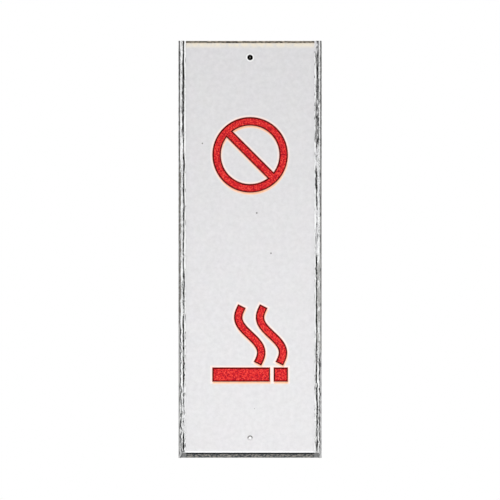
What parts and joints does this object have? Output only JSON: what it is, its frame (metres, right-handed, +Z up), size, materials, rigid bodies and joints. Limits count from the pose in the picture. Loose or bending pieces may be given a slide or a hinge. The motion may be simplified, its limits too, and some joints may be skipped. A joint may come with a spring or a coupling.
{
  "type": "no smoking sign",
  "caption": "Tall narrow wall sign: a white plate clasped by crimped lips along both long edges of a folded metal backing, with a hanging eyelet at the top.",
  "frame": {"origin": "middle of the flat back, on the face that lies against the wall", "axes": "+Z up the sign, +X to the right of a reader, -Y out of the front towards the reader"},
  "size_m": [0.103, 0.004, 0.3],
  "materials": {
    "bright_sheet": "bright rolled sheet, hand-crimped",
    "white_plate": "semi-gloss white, lightly mottled, with red print",
    "black_eyelet": "blackened"
  },
  "bodies": {
    "root": {"backing": "bright_sheet", "face_plate": "white_plate", "hanging_eyelet": "black_eyelet"}
  },
  "joints": []
}
